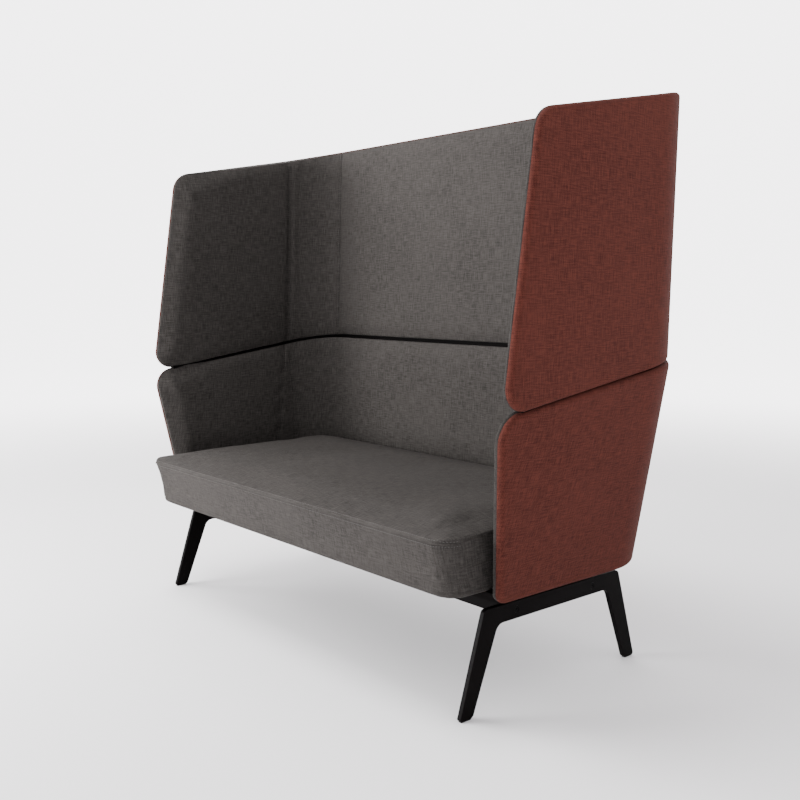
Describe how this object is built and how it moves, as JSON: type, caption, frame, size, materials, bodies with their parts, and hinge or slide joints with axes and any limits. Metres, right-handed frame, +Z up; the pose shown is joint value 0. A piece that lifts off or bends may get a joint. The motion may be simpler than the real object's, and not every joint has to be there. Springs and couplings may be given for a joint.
{
  "type": "acoustic high back lounge sofa",
  "caption": "High back acoustic lounge sofa: a padded shell in tiers wraps round an upholstered seat that stands on splayed plate legs, shielding the sitters from sound.",
  "frame": {"origin": "on the floor, under the middle of the sofa's box", "axes": "+Z up; the sofa's front faces -Y, and +X is to the right for someone who looks at the front of it"},
  "size_m": [1.52, 0.7457, 1.3761],
  "materials": {
    "outer_fabric": "woven melange wool over thin padding, matt",
    "inner_fabric": "slubby linen weave, matt",
    "seat_fabric": "slubby linen weave, matt",
    "foam": "open cell upholstery foam",
    "plywood": "moulded beech plywood, unfinished",
    "beech": "planed beech, unfinished",
    "black_board": "plywood stained black",
    "black_steel": "black powder coat, satin",
    "upright_steel": "black powder coat",
    "screw_steel": "zinc plated",
    "black_fasteners": "black oxide, satin",
    "webbing": "elastic upholstery webbing",
    "black_cloth": "thin non-woven cloth",
    "black_nylon": "moulded, matt"
  },
  "bodies": {
    "root": {"lower_back_panel": "plywood", "lower_corner_panel_right": "plywood", "lower_corner_panel_left": "plywood", "lower_wing_panel_right": "plywood", "lower_wing_panel_left": "plywood", "lower_dowels": "beech", "lower_outer_cover": "outer_fabric", "lower_inner_cover": "inner_fabric", "lower_inner_foam": "foam", "upper_back_panel": "plywood", "upper_corner_panel_right": "plywood", "upper_corner_panel_left": "plywood", "upper_wing_panel_right": "plywood", "upper_wing_panel_left": "plywood", "upper_dowels": "beech", "upper_outer_cover": "outer_fabric", "upper_inner_cover": "inner_fabric", "upper_inner_foam": "foam", "back_upright_right": "upright_steel", "back_upright_left": "upright_steel", "upright_screws": "screw_steel", "shell_screws": "screw_steel", "seat_screws": "screw_steel", "rail_screws": "black_fasteners", "leg_bolts": "black_fasteners", "seat_front_rail": "beech", "seat_rear_rail": "beech", "seat_side_rail_right": "beech", "seat_side_rail_left": "beech", "seat_centre_rail": "beech", "seat_webbing": "webbing", "seat_dust_cover": "black_cloth", "seat_foam": "foam", "seat_cover": "seat_fabric", "seat_edge_welt": "seat_fabric", "base_board": "black_board", "front_cross_rail": "black_steel", "rear_cross_rail": "black_steel", "leg_frame_right": "black_steel", "leg_frame_left": "black_steel", "rail_end_plugs": "screw_steel", "foot_glides": "black_nylon"}
  },
  "joints": []
}
